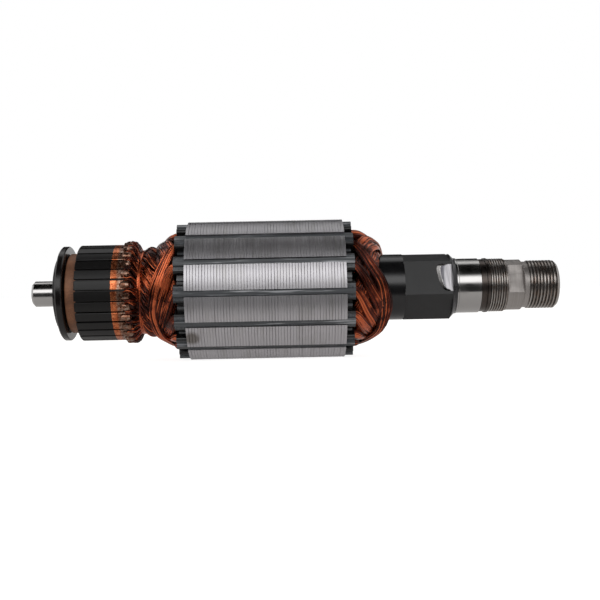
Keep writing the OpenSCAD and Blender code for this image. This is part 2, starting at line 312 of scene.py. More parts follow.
def milled_land():
    """Bare steel let into a facet of the sleeve: arcs left by the wheel, lighter near the sleeve's end and
    darker further in, with a line of rust across it.
    """
    made, tree, shader = new_material("steel_milled_land", {"Metallic": 1.0, "Roughness": 0.42})
    place = wire_node(tree, "TexCoord").outputs["Object"]
    # The arcs run round a point beyond the sleeve's end
    middle = on_axis(SLEEVE_OUT + 10.5, 9.1, FACET_ANGLE) * MM + on_axis(0, 0.4 * MM, FACET_ANGLE + 90)
    reach = wire_node(tree, "VectorMath", {0: place, 1: tuple(middle)}, operation="DISTANCE").outputs["Value"]
    share = wire_node(tree, "MapRange", {"Value": reach, "From Min": 10 * MM, "From Max": 16 * MM})
    lighter_then_darker = [(0.46, "a9a7aa"), (0.54, "77767b"), (0.7, "5d5b60")]
    rust_and_rim = [(0.74, "7d4526"), (0.775, "8a5334"), (0.8, "c4c2c2"), (0.9, "aeadad")]
    bands = wire_node(tree, "ValToRGB", {"Fac": share}, lighter_then_darker + rust_and_rim)
    # Scratches run across the axis, about 0.4 mm apart
    drawn = wire_node(tree, "Mapping", {"Vector": place, "Scale": (2600, 160, 160)})
    marks = wire_node(tree, "TexNoise", {"Vector": drawn, "Scale": 1.0, "Detail": 4.0})
    scratched = {"Value": marks, "From Min": 0.35, "From Max": 0.65}
    worn = wire_node(tree, "MapRange", {**scratched, "To Min": 0.55, "To Max": 1.15})
    shade = wire_node(tree, "Mix", {0: 1.0, 6: bands, 7: worn}, data_type="RGBA", blend_type="MULTIPLY")
    bump = wire_node(tree, "Bump", {"Height": marks, "Strength": 0.35, "Distance": 0.05 * MM})
    connect(tree, shader, {"Base Color": shade.outputs[2], "Normal": bump})
    return made


def cut_thread_steel(sizes):
    """Steel with a thread cut by a die: bright worn crests, with brown oil left in the roots."""
    made, tree, shader = new_material("steel_cut_thread", {"Metallic": 0.9})
    place = wire_node(tree, "TexCoord").outputs["Object"]
    blotch = wire_node(tree, "TexNoise", {"Vector": place, "Scale": 700.0, "Detail": 5.0, "Roughness": 0.65})
    tones = [(0.3, sizes.oil_brown), (0.5, sizes.thread_steel), (0.75, "8b8784")]
    shade = wire_node(tree, "ValToRGB", {"Fac": blotch}, tones)
    rough = wire_node(tree, "MapRange", {"Value": blotch, "To Min": 0.55, "To Max": 0.2})
    bump = wire_node(tree, "Bump", {"Height": blotch, "Strength": 0.3, "Distance": 0.03 * MM})
    connect(tree, shader, {"Base Color": shade, "Roughness": rough, "Normal": bump})
    return made


def moulded_sleeve(sizes):
    """Black epoxy insulation moulded on the shaft: satin, with an orange-peel skin and small rubs."""
    made, tree, shader = new_material("epoxy_moulded_sleeve", {"Specular IOR Level": 0.46})
    place = wire_node(tree, "TexCoord").outputs["Object"]
    # Orange peel of such a skin is about 0.6 mm across
    peel = wire_node(tree, "TexNoise", {"Vector": place, "Scale": 1700.0, "Detail": 2.0})
    cloud = wire_node(tree, "TexNoise", {"Vector": place, "Scale": 180.0, "Detail": 5.0})
    shade = wire_node(tree, "ValToRGB", {"Fac": cloud}, [(0.35, sizes.sleeve), (0.75, "18181a")])
    # The round collar is rubbed smooth, the hexagon is matt
    station = wire_node(tree, "SeparateXYZ", {"Vector": place}).outputs["X"]
    hexagon = wire_node(tree, "Math", {0: station, 1: (HEX_IN + 0.1) * MM}, operation="GREATER_THAN")
    rough = wire_node(tree, "MapRange", {"Value": hexagon, "To Min": 0.24, "To Max": 0.46})
    bump = wire_node(tree, "Bump", {"Height": peel, "Strength": 0.15, "Distance": 0.01 * MM})
    connect(tree, shader, {"Base Color": shade, "Roughness": rough, "Normal": bump})
    return made


def sheet_steel(sizes):
    """Punched silicon steel sheets, turned true as a stack: fine cross lines, no two sheets quite alike."""
    made, tree, shader = new_material("silicon_steel_turned_stack", {"Metallic": 1.0})
    place = wire_node(tree, "TexCoord").outputs["Object"]
    # One sheet is about 0.9 mm, so the tone changes about once a sheet along the axis
    sheet = wire_node(tree, "Mapping", {"Vector": place, "Scale": (1050, 60, 60)})
    tone = wire_node(tree, "TexNoise", {"Vector": sheet, "Scale": 1.0, "Detail": 2.0})
    cloud = wire_node(tree, "TexNoise", {"Vector": place, "Scale": 120.0, "Detail": 5.0, "Roughness": 0.6})
    mixed = wire_node(tree, "Math", {0: tone, 1: cloud}, operation="ADD")
    clear = wire_node(tree, "ValToRGB", {"Fac": mixed}, [(0.72, "a6a4a5"), (1.15, sizes.steel)])
    # Old resin has run over the edge of one tooth at the commutator end
    resin = [c * MM for c in (CORE_IN + 1.6, -16.2, -14.1)]
    reach = wire_node(tree, "VectorMath", {0: place, 1: resin}, operation="DISTANCE").outputs["Value"]
    edge = {"From Min": 3.0 * MM, "From Max": 1.6 * MM}
    stain = wire_node(tree, "MapRange", {"Value": reach, **edge, "To Max": 0.75})
    shade = wire_node(tree, "Mix", {0: stain, 6: clear, 7: "5f5850"}, data_type="RGBA").outputs[2]
    rough = wire_node(tree, "MapRange", {"Value": cloud, "To Min": 0.38, "To Max": 0.46})
    bump = wire_node(tree, "Bump", {"Height": tone, "Strength": 0.3, "Distance": 0.03 * MM})
    connect(tree, shader, {"Base Color": shade, "Roughness": rough, "Normal": bump})
    return made


def moulded_plastic(name, colour, light, roughness, grain_mm, gloss=0.5, painted_shade_tone=None):
    """Glass-filled moulding: matt, with a fine mottle where the glass comes near the skin, and painted shade
    in the gaps between the slots when a shade colour is given.
    """
    made, tree, shader = new_material(name, {"Roughness": roughness, "Specular IOR Level": gloss})
    place = wire_node(tree, "TexCoord").outputs["Object"]
    grain = wire_node(tree, "TexNoise", {"Vector": place, "Scale": 1000 / grain_mm, "Detail": 3.0})
    cloud = wire_node(tree, "TexNoise", {"Vector": place, "Scale": 200.0, "Detail": 4.0})
    mixed = wire_node(tree, "Math", {0: grain, 1: cloud}, operation="MULTIPLY")
    surface = wire_node(tree, "ValToRGB", {"Fac": mixed}, [(0.15, colour), (0.4, light)]).outputs[0]
    if painted_shade_tone:
        # Painted shade: the gaps beside each tooth, between the liners' ends, are painted near black, and the
        # rib in front of the tooth only a little darker
        parts = wire_node(tree, "SeparateXYZ", {"Vector": place}).outputs
        back = wire_node(tree, "Math", {0: parts["Y"], 1: -1.0}, operation="MULTIPLY")
        angle = wire_node(tree, "Math", {0: parts["Z"], 1: back}, operation="ARCTAN2")
        # Angles in slot steps from a slot's middle, with half a turn added so that none is negative
        steps = {0: angle, 1: SLOTS / (2 * math.pi), 2: SLOTS / 2 - SLOT_ANGLE / SLOT_STEP}
        slots = wire_node(tree, "Math", steps, operation="MULTIPLY_ADD")
        share = wire_node(tree, "Math", {0: slots}, operation="FRACT")
        clear, rib, full = (0, 0, 0, 1), (0.2, 0.2, 0.2, 1), (1, 1, 1, 1)
        lower_side = [(0.2, clear), (0.26, full), (0.44, full), (0.47, rib)]
        upper_side = [(1 - position, tone) for position, tone in reversed(lower_side)]
        zone = wire_node(tree, "ValToRGB", {"Fac": share}, lower_side + upper_side)
        surface = wire_node(tree, "Mix", {0: zone, 6: surface, 7: painted_shade_tone}, data_type="RGBA").outputs[2]
    bump = wire_node(tree, "Bump", {"Height": grain, "Strength": 0.3, "Distance": 0.04 * MM})
    connect(tree, shader, {"Base Color": surface, "Normal": bump})
    return made


def drawn_wedge(sizes):
    """Extruded grey strip pushed along its slot: drawn streaks, some of them rubbed bright."""
    made, tree, shader = new_material("extruded_slot_wedge", {"Roughness": 0.4})
    place = wire_node(tree, "TexCoord").outputs["Object"]
    stretched = wire_node(tree, "Mapping", {"Vector": place, "Scale": (60, 1400, 1400)})
    streak = wire_node(tree, "TexNoise", {"Vector": stretched, "Scale": 1.0, "Detail": 4.0})
    tones = [(0.35, "3d4043"), (0.56, sizes.wedge), (0.66, "b4b6ba")]
    shade = wire_node(tree, "ValToRGB", {"Fac": streak}, tones)
    bump = wire_node(tree, "Bump", {"Height": streak, "Strength": 0.4, "Distance": 0.05 * MM})
    connect(tree, shader, {"Base Color": shade, "Normal": bump})
    return made


def bar_copper(sizes):
    """Drawn copper bars: black lacquer over the track, a bare machined band, then hooks browned by fusing."""
    made, tree, shader = new_material("copper_lacquered_and_fused", {"Specular IOR Level": 0.3})
    place = wire_node(tree, "TexCoord").outputs["Object"]
    station = wire_node(tree, "SeparateXYZ", {"Vector": place}).outputs["X"]
    wobble = wire_node(tree, "TexNoise", {"Vector": place, "Scale": 900.0, "Detail": 3.0})
    uneven = 0.25 * MM
    shifted = wire_node(tree, "Math", {0: wobble, 1: uneven, 2: station}, operation="MULTIPLY_ADD")
    # The noise moves stations out by 0.12 mm on average, so the lacquer's edge moves with them
    lacquer_edge = BAR_IN * MM + sizes.lacquer_len + 0.12 * MM
    bare = wire_node(tree, "Math", {0: shifted, 1: lacquer_edge}, operation="GREATER_THAN")
    browned = {"From Min": (HOOK_OUT - 4.2) * MM, "From Max": (HOOK_OUT - 3.4) * MM}
    fused = wire_node(tree, "MapRange", {"Value": shifted, **browned})
    blotch = wire_node(tree, "TexNoise", {"Vector": place, "Scale": 1100.0, "Detail": 5.0, "Roughness": 0.7})
    copper = wire_node(tree, "ValToRGB", {"Fac": blotch}, [(0.36, "8f3f20"), (0.62, sizes.copper)])
    hook_tones = [(0.32, "3a1e13"), (0.48, sizes.hook), (0.64, "9c8a7e")]
    hook = wire_node(tree, "ValToRGB", {"Fac": blotch}, hook_tones)
    metal = wire_node(tree, "Mix", {0: fused, 6: copper, 7: hook}, data_type="RGBA").outputs[2]
    shade = wire_node(tree, "Mix", {0: bare, 6: sizes.lacquer, 7: metal}, data_type="RGBA").outputs[2]
    metallic = wire_node(tree, "MapRange", {"Value": bare, "To Max": 0.9})
    polish = wire_node(tree, "MapRange", {"Value": blotch, "To Min": 0.16, "To Max": 0.38})
    rough = wire_node(tree, "Mix", {0: bare, 2: 0.36, 3: polish}, data_type="FLOAT")
    bump = wire_node(tree, "Bump", {"Height": blotch, "Strength": 0.35, "Distance": 0.05 * MM})
    connect(tree, shader, {"Base Color": shade, "Metallic": metallic, "Roughness": rough, "Normal": bump})
    return made


def enamelled_copper(sizes, name):
    """Copper wire under polyurethane enamel and dipped varnish: glossy red-brown, darker in random pools,
    with painted shade carried in each wire's tone.
    """
    varnish = {"Coat Weight": 0.2, "Coat Roughness": 0.08, "Coat IOR": 1.5}
    made, tree, shader = new_material(name, {"Metallic": 0.85, **varnish})
    place = wire_node(tree, "TexCoord").outputs["Object"]
    tone = wire_node(tree, "Attribute", attribute_name="tone").outputs["Fac"]
    pool = wire_node(tree, "TexNoise", {"Vector": place, "Scale": 240.0, "Detail": 4.0})
    patch = wire_node(tree, "TexNoise", {"Vector": place, "Scale": 95.0, "Detail": 2.0})
    patched = {"Value": patch, "From Min": 0.3, "From Max": 0.7}
    wide = wire_node(tree, "MapRange", {**patched, "To Min": -0.3, "To Max": 0.3})
    # Each wire's tone carries painted shade; the pool noise adds random darker pools to it
    painted_shade_tone = wire_node(tree, "Math", {0: tone, 1: pool}, operation="ADD")
    mixed = wire_node(tree, "Math", {0: painted_shade_tone, 1: wide}, operation="ADD")
    tones = [(0.5, sizes.shaded_enamel), (0.88, "6c2914"), (1.26, sizes.enamel)]
    shade = wire_node(tree, "ValToRGB", {"Fac": mixed}, tones)
    rough = wire_node(tree, "MapRange", {"Value": pool, "To Min": 0.16, "To Max": 0.4})
    connect(tree, shader, {"Base Color": shade, "Roughness": rough})
    return made


# Meshes


def on_axis(x, r, phi):
    """A point at a station and radius, phi degrees above the horizontal on the viewer's side."""
    a = np.radians(phi)
    return np.stack(np.broadcast_arrays(x, -r * np.cos(a), r * np.sin(a)), axis=-1)


def tube_faces(rings, around, base=0, ends="capped"):
    """Faces of a tube through rings of points: its ends capped, open, or joined to each other."""
    faces = []
    total = rings * around
    for k in range(rings if ends == "joined" else rings - 1):
        for j in range(around):
            a, b = k * around + j, k * around + (j + 1) % around
            faces.append(tuple(base + i % total for i in (a, b, b + around, a + around)))
    if ends == "capped":
        faces.append(tuple(base + j for j in reversed(range(around))))
        faces.append(tuple(base + total - around + j for j in range(around)))
    return faces


def mesh_piece(name, vertices, faces, materials, tones=None):
    """A piece riding on the root, from vertices in millimetres."""
    mesh = bpy.data.meshes.new(name)
    mesh.from_pydata((np.asarray(vertices, float) * MM).tolist(), [], faces)
    if tones is not None:
        values = np.asarray(tones, np.float32)
        mesh.attributes.new("tone", "FLOAT", "POINT").data.foreach_set("value", values)
    mesh.validate()
    piece = bpy.data.objects.new(name, mesh)
    bpy.context.scene.collection.objects.link(piece)
    for material in materials:
        mesh.materials.append(material)
    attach(piece, "root")
    return piece


def smooth(piece, angle):
    """Shades a piece smooth, with sharp edges above an angle in degrees."""
    piece.data.shade_smooth()
    piece.data.set_sharp_from_angle(angle=math.radians(angle))


def clean(piece):
    """Merges coincident points, turns every face outward and shades the piece."""
    together = 0.0005 * MM
    work = bmesh.new()
    work.from_mesh(piece.data)
    bmesh.ops.remove_doubles(work, verts=work.verts, dist=together)
    bmesh.ops.dissolve_degenerate(work, edges=work.edges, dist=together)
    bmesh.ops.recalc_face_normals(work, faces=work.faces)
    work.to_mesh(piece.data)
    work.free()
    smooth(piece, 28)


def dress(nodes, material):
    """Gives CAD nodes a material."""
    for name in nodes:
        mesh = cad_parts[name].data
        mesh.materials.clear()
        mesh.materials.append(material)


def smooth_path(controls, samples):
    """Points on a Catmull-Rom curve through rows of numbers."""
    c = np.asarray(controls, float)
    c = np.vstack([2 * c[0] - c[1], c, 2 * c[-1] - c[-2]])
    t = np.linspace(0, len(c) - 3 - 1e-9, samples)
    k = t.astype(int)
    f = (t - k)[:, None]
    a, b, d, e = c[k], c[k + 1], c[k + 2], c[k + 3]
    return 0.5 * (2 * b + (d - a) * f + (2 * a - 5 * b + 4 * d - e) * f**2 + (3 * b - a - 3 * d + e) * f**3)


def from_axis(points):
    """Directions from the axis to points."""
    out = points * np.array([0, 1, 1])
    return out / np.linalg.norm(out, axis=1)[:, None]


def sides_of(points, hint):
    """Outward and sideways directions along a path, outward kept near the hint."""
    tangent = np.gradient(points, axis=0)
    tangent /= np.linalg.norm(tangent, axis=1)[:, None]
    outward = hint - (hint * tangent).sum(1)[:, None] * tangent
    outward /= np.linalg.norm(outward, axis=1)[:, None]
    return outward, np.cross(tangent, outward)


class WireMesh:
    """Gathers wires and packed bundles into one mesh, with a tone for each point."""

    def __init__(self, sides=5):
        self.sides = sides
        self.points = []
        self.faces = []
        self.tones = []
        self.count = 0

    def skin(self, rings, tone, ends="capped"):
        """Adds a tube from its rings of points."""
        number, around = rings.shape[:2]
        self.points.append(rings.reshape(-1, 3))
        self.tones.append(np.full(number * around, tone))
        self.faces += tube_faces(number, around, self.count, ends)
        self.count += number * around

    def oval(self, path, outward, side, half_h, half_w, tone, around):
        """Adds a tube of oval section along a path."""
        turn = np.linspace(0, 2 * math.pi, around, endpoint=False)[None, :, None]
        tall = np.cos(turn) * outward[:, None] * half_h
        wide = np.sin(turn) * side[:, None] * half_w
        self.skin(path[:, None] + tall + wide, tone)

    def wire(self, path, radius, tone, hint=None):
        """Adds one round wire along a path."""
        hint = path * np.array([0, 1, 1]) if hint is None else hint
        self.oval(path, *sides_of(path, hint), radius, radius, tone, self.sides)

    def heart(self, path, outward, side, half_h, half_w):
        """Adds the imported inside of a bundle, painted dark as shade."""
        self.oval(path, outward, side, half_h[:, None, None], half_w[:, None, None], -0.2, 8)

    def piece(self, name, material, node):
        """Makes the gathered wires a piece that stands for a node."""
        made = mesh_piece(
            name, np.concatenate(self.points), self.faces, [material], np.concatenate(self.tones)
        )
        smooth(made, 80)
        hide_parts(node)


# Operators


class BuildStage(bpy.types.Operator):
    """Makes the floor, the white surroundings, the cards, the lamps and the camera"""

    bl_idname = "armature.stage"
    bl_label = "Stage"

    # Ends of the cards along the axis, front edge of the light pad, and gap under the lowest cards, in metres
    card_ends = (-0.9, 0.8)
    pad_front = -0.046
    card_gap = 0.0005

    def execute(self, context):
        scene, sizes = context.scene, context.scene.armature_stage
        scene.view_settings.view_transform = "Standard"
        camera = bpy.data.objects.new("camera", bpy.data.cameras.new("camera"))
        scene.collection.objects.link(camera)
        camera.location = (sizes.station, -sizes.distance, 0)
        camera.rotation_mode = "XYZ"
        camera.rotation_euler = (math.radians(90), sizes.roll, 0)
        camera.data.lens = sizes.lens
        camera.data.sensor_width = 36
        camera.data.shift_x, camera.data.shift_y = (offset / PHOTO_PX for offset in SHIFT_PX)
        camera.data.clip_start, camera.data.clip_end = 0.01, 50
        scene.camera = camera

        world = bpy.data.worlds.new("white_room")
        scene.world = world
        world.use_nodes = True
        tree = world.node_tree
        tree.nodes.clear()
        # White where the camera, metal or glass looks at it, and plain soft light for all else
        strength = wire_node(tree, "MapRange", {"Value": self.looked_at(tree), "To Min": 0.4, "To Max": 1.0})
        sky = wire_node(tree, "Background", {"Color": "ffffff", "Strength": strength})
        wire_node(tree, "OutputWorld", {"Surface": sky})

        # Pale painted table: matt, lifted to white for the camera, and still taking the shadow
        matt = {"Base Color": sizes.floor, "Roughness": 0.9, "Specular IOR Level": 0.2}
        paint, tree, shader = new_material("painted_table", {**matt, "Emission Color": "ffffff"})
        lift = wire_node(tree, "MapRange", {"Value": self.looked_at(tree), "To Min": 0.1, "To Max": 0.86})
        connect(tree, shader, {"Emission Strength": lift})
        table = -CORE_R * MM
        self.card("table", paint, (-4, 4), (-4, table), (4, table))

        # Only reflections see these: a white light pad under the part, which glows a little, and four dark
        # cards that give the metal its dark bands. Each has its colour, glow, and two edges as y and z.
        low = table + self.card_gap
        for name, colour, glow, *edges in (
            ("board_under", "f0ece8", 0.27, (0.9, low), (self.pad_front, low)),
            ("card_overhead", "202020", 0.0, (-0.45, 0.45), (0.1, 0.45)),
            ("card_low", "4a4a4a", 0.0, (self.pad_front, low), (-0.9, low)),
            ("card_back", "1c1c1c", 0.0, (0.8, 0.25), (0.8, 1.2)),
            ("card_front", "4a4a4a", 0.0, (-0.7, low), (-0.7, 0.10)),
        ):
            matt = {"Base Color": colour, "Roughness": 1.0, "Specular IOR Level": 0.0}
            glowing = {"Emission Color": "ffffff", "Emission Strength": glow}
            paint = new_material("painted_" + name, {**matt, **glowing})[0]
            card = self.card(name, paint, self.card_ends, *edges)
            card.visible_camera = card.visible_diffuse = card.visible_shadow = False
            card.visible_transmission = card.visible_volume_scatter = False

        # One wide soft box in front, a little above the axis, and a weaker one high behind the part
        self.lamp("soft_box", (-0.06, -0.62, 0.30), (0.9, 0.30), 1.5)
        self.lamp("fill_above", (-0.06, 0.5, 0.75), (1.2, 0.5), 0.6)
        return {"FINISHED"}

    def looked_at(self, tree):
        """1 for the rays that see the background: straight, in metal or through glass."""
        path = wire_node(tree, "LightPath").outputs
        straight_or_metal = {0: path["Is Camera Ray"], 1: path["Is Glossy Ray"]}
        seen = wire_node(tree, "Math", straight_or_metal, operation="MAXIMUM")
        return wire_node(tree, "Math", {0: seen, 1: path["Is Transmission Ray"]}, operation="MAXIMUM")

    def card(self, name, material, ends, near, far):
        """A flat sheet between two stations and two edges."""
        mesh = bpy.data.meshes.new(name)
        corners = [(ends[0], *near), (ends[1], *near), (ends[1], *far), (ends[0], *far)]
        mesh.from_pydata(corners, [], [(0, 1, 2, 3)])
        mesh.materials.append(material)
        card = bpy.data.objects.new(name, mesh)
        bpy.context.scene.collection.objects.link(card)
        return card

    def lamp(self, name, place, size, watts):
        """A rectangular soft lamp that faces the axis."""
        light = bpy.data.lights.new(name, "AREA")
        light.shape, light.size, light.size_y, light.energy = "RECTANGLE", size[0], size[1], watts
        lamp = bpy.data.objects.new(name, light)
        bpy.context.scene.collection.objects.link(lamp)
        lamp.location = place
        lamp.rotation_euler = (Vector((place[0], 0, 0)) - Vector(place)).to_track_quat("-Z", "Y").to_euler()


class BuildShaft(bpy.types.Operator):
    """Makes the turned shaft with its threads, flats, bare land and collet socket"""

    bl_idname = "armature.shaft"
    bl_label = "Shaft"

    # Material slots of the shaft
    steel, thread_steel, land_steel, milled, dark, oiled, crest = range(7)

    # The bare land in millimetres: half its width, the radius of its face, its drop where it runs out, the
    # length of that slope, its length at the corners, and the radius of its foot inside the sleeve
    land_half = 4.33
    land_r = 9.19
    land_drop = 0.3
    land_slope = 1.1
    land_corner = 1.6
    land_foot_r = 7.0
    # Its outline, as distance from the sleeve's end and place across it
    land_outline = [
        (0, 4.33), (1.85, 4.33), (3.15, 4.28), (4.1, 4.08), (4.63, 3.2), (4.63, 1.9),
        (4.43, 0.6), (4.03, -1.5), (3.38, -3.2), (2.53, -4.08), (1.53, -4.33), (0, -4.33),
    ]  # fmt: skip

    def execute(self, context):
        sizes = context.scene.armature_shaft
        # Points every 1.5 degrees round the axis, and at the edges of the spanner flats
        flat_edge = math.degrees(math.acos(HALF_FLATS / BODY_R))
        marks = [FACET_ANGLE + d for d in (-flat_edge, flat_edge, 180 - flat_edge, 180 + flat_edge)]
        phi = np.unique(np.round(np.concatenate([np.arange(0, 360, 1.5), np.mod(marks, 360)]), 4))
        rows = self.turned_rows(sizes, phi)
        points = np.concatenate([on_axis(x, r, phi) for x, r, _ in rows])
        faces = tube_faces(len(rows), len(phi))
        slots = [zone for _, _, zone in rows[1:] for _ in phi] + [self.steel] * 2
        land, land_faces, land_slots = self.land(len(points))

        materials = [
            ground_steel("steel_cylindrically_ground", sizes.steel, 0.17, 0.12, 0.006),
            cut_thread_steel(sizes),
            milled_land(),
            ground_steel("steel_milled_flats", "a09b98", 0.5, 0.5, 0.02, "8b8784"),
            ground_steel("steel_black_oxide", "4b4a4c", 0.3, 0.3, 0.01, "39383a"),
            ground_steel("steel_oiled_groove", "524d4a", 0.3, 0.4, 0.02, "39302b"),
            ground_steel("steel_thread_crest", "a5a19d", 0.3, 0.5, 0.01, "6b5c53"),
        ]
        piece = mesh_piece("turned_shaft", np.concatenate([points, land]), faces + land_faces, materials)
        piece.data.polygons.foreach_set("material_index", slots + land_slots)
        clean(piece)
        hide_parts("shaft")
        return {"FINISHED"}

    def turned_rows(self, sizes, phi):
        """Rings of points from the stub to the bore's bottom: stations, radii and material slots."""
        rows = []

        def ring(x, r, zone):
            """A ring of points, and the slot of the faces that lead up to it."""
            rows.append((np.broadcast_to(x, phi.shape), np.broadcast_to(r, phi.shape), zone))

        def profile(points, zone=self.steel):
            for x, r in points:
                ring(x, r, zone)

        def thread(x0, x1, major, minor_in, minor_out, pitch):
            """Helical rows between two stations, run out to the given radii at both ends."""
            depth = pitch * sizes.thread_depth
            root_share, flank_share, slope_in, slope_out = 0.1, 0.55, 1.4, 1.2
            foot_in, top_in, top_out, foot_out = 0.05, 0.325, 0.675, 0.95
            for turn in range(-1, int((x1 - x0) / pitch) + 2):
                for phase in (foot_in, top_in, top_out, foot_out):
                    x = np.clip(x0 + (turn + phase + phi / 360) * pitch, x0, x1)
                    p = np.mod((x - x0) / pitch - phi / 360, 1.0)
                    height = np.clip((1 - np.abs(p - 0.5) * 2 - root_share) / flank_share, 0, 1)
                    r = major - depth + depth * height
                    r = np.minimum(r, minor_in + (x - x0) * slope_in)
                    r = np.minimum(r, minor_out + (x1 - x) * slope_out)
                    ring(x, r, self.crest if phase == top_out else self.thread_steel)

        # Commutator-end stub, the seats under the commutator and sleeve, and the dark cone beside the hexagon
        hub_in, hub_out = FLANGE_IN - 0.1, HOOK_OUT + 0.85
        profile([(STUB_END, AXIS_R), (STUB_END, STUB_R - 0.7), (STUB_END + 0.7, STUB_R), (hub_in, STUB_R)])
        profile([(hub_in, HUB_R), (hub_out, HUB_R), (hub_out, SLEEVE_BORE_R)])
        profile([(HEX_IN - 6, SLEEVE_BORE_R), (HEX_IN - 3, SHOULDER_R), (SLEEVE_OUT, SHOULDER_R)])
        profile([(SLEEVE_OUT, CONE_R), (SLEEVE_OUT + 0.2, CONE_R)], self.dark)
        profile([(SLEEVE_OUT + 1.5, SHOULDER_R), (SEAT_IN - 0.6, SHOULDER_R)], self.dark)

        # Drive-end bearing seat, its relief and retaining groove, and the lock nut's thread
        profile([(SEAT_IN - 0.2, SHOULDER_R), (SEAT_IN, SEAT_R), (GROOVE_IN - 0.15, SEAT_R)])
        profile([(GROOVE_IN, RELIEF_R), (GROOVE_OUT, RELIEF_R)], self.oiled)
        profile([(GROOVE_OUT + 0.15, SEAT_R), (SEAT_OUT, SEAT_R)], self.oiled)
        profile([(SEAT_OUT + 0.05, UNDERCUT_R), (LOCK_THREAD_IN, UNDERCUT_R)], self.oiled)
        ends = (LOCK_THREAD_IN, LOCK_THREAD_OUT)
        thread(*ends, LOCK_THREAD_R, UNDERCUT_R, LOCK_THREAD_END_R, sizes.lock_pitch / MM)
        for x in (LOCK_THREAD_OUT + 0.02, FLATS_IN - 0.05):
            ring(x, LOCK_THREAD_END_R, self.milled)

        # Spanner flats, run-out groove, and the end thread
        facing = np.abs(np.cos(np.radians(phi - FACET_ANGLE)))
        flats = np.minimum(BODY_R, HALF_FLATS / np.maximum(facing, 0.3))
        ring(FLATS_IN, BODY_R, self.milled)
        ring(FLATS_IN + 0.02, flats, self.milled)
        ring(FLATS_OUT - 0.05, flats, self.milled)
        profile([(FLATS_OUT, BODY_R), (RUN_OUT_IN - 0.1, 7.3)], self.milled)
        profile([(RUN_OUT_IN, RUN_OUT_R), (RUN_OUT_OUT, RUN_OUT_R)], self.milled)
        thread(END_THREAD_IN, END_THREAD_OUT, END_THREAD_R, RUN_OUT_R, 7.2, sizes.pitch / MM)

        # Nose, tapered collet socket, and the shank bore behind it
        profile([(SHAFT_END - 0.45, 7.15), (SHAFT_END - 0.2, 6.98), (SHAFT_END, NOSE_R)], self.milled)
        profile([(SHAFT_END, SOCKET_R), (SHAFT_END - 0.3, 5.62)])
        profile([(SHAFT_END - 9, SHANK_BORE_R), (SHAFT_END - 33, SHANK_BORE_R)])
        profile([(SHAFT_END - 35, 0.5), (SHAFT_END - 35, AXIS_R)])
        return rows

    def land(self, base):
        """Points, faces and slots of the land in the facing facet, with a slope at its inner end."""
        across, along = np.linspace(-self.land_half, self.land_half, 15), np.linspace(0, 1, 25)
        outline = np.array(self.land_outline)[::-1]
        reach = np.interp(across, outline[:, 1], outline[:, 0])
        reach[[0, -1]] = self.land_corner
        back = reach[:, None] * along[None, :]
        run_out = np.clip((reach[:, None] - back) / self.land_slope, 0, 1)
        normal = on_axis(0, 1.0, FACET_ANGLE)
        upward = on_axis(0, 1.0, FACET_ANGLE + 90)
        points = []
        for face_r in (self.land_r - self.land_drop * run_out, np.full(back.shape, self.land_foot_r)):
            sheet = face_r[..., None] * normal + across[:, None, None] * upward
            sheet[..., 0] = SLEEVE_OUT - back
            points.append(sheet.reshape(-1, 3))

        faces, slots, n, wide = [], [], back.size, len(along)
        for i in range(len(across) - 1):
            for j in range(wide - 1):
                a = base + i * wide + j
                faces.append((a, a + 1, a + wide + 1, a + wide))
                worn = run_out[i, j : j + 2].mean() > 0.97
                slots.append(self.land_steel if worn else self.steel)
                faces.append((a + n, a + wide + n, a + wide + 1 + n, a + 1 + n))
                slots.append(self.steel)
        # Walls round the rim, between the face and the foot
        last = n - wide
        rim = [i * wide for i in range(len(across))] + [last + j for j in range(1, wide)]
        rim += [i + wide - 1 for i in range(last - wide, -1, -wide)] + list(range(wide - 2, 0, -1))
        for a, b in zip(rim, rim[1:] + rim[:1]):
            faces.append((base + a, base + b, base + b + n, base + a + n))
            slots.append(self.steel)
        return np.concatenate(points), faces, slots


class BuildSleeve(bpy.types.Operator):
    """Finishes the moulded sleeve that carries the fan hexagon"""

    bl_idname = "armature.sleeve"
    bl_label = "Sleeve"

    def execute(self, context):
        dress(["shaft_sleeve"], moulded_sleeve(context.scene.armature_shaft))
        return {"FINISHED"}


